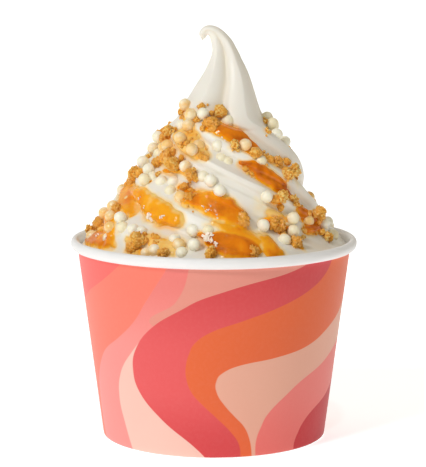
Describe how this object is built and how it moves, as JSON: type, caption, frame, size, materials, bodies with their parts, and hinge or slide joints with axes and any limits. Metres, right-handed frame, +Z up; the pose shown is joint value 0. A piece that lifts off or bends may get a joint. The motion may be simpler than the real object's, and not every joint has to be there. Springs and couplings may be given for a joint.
{
  "type": "frozen yogurt cup",
  "caption": "Round paper cup with a rolled rim, heaped with a ribbed swirl of frozen yogurt that carries caramel sauce, white chocolate pearls and biscuit crumbs.",
  "frame": {"origin": "centre of the cup's foot, on the surface it stands on", "axes": "+Z up along the cup's axis, -Y towards the front, +X to the right seen from the front"},
  "size_m": [0.096, 0.096, 0.1372],
  "materials": {
    "cup_paper": "satin coated paper, white inside and on the rim, flowing bands of coral, rose, peach, orange and crimson outside",
    "yogurt": "smooth, softly glossy frozen dairy",
    "caramel": "glossy translucent sauce",
    "pearl": "satin white chocolate",
    "crumb": "rough baked crumb",
    "salt": "pale crystalline flakes"
  },
  "bodies": {
    "root": {"cup": "cup_paper", "frozen_yogurt": "yogurt"}
  },
  "joints": []
}
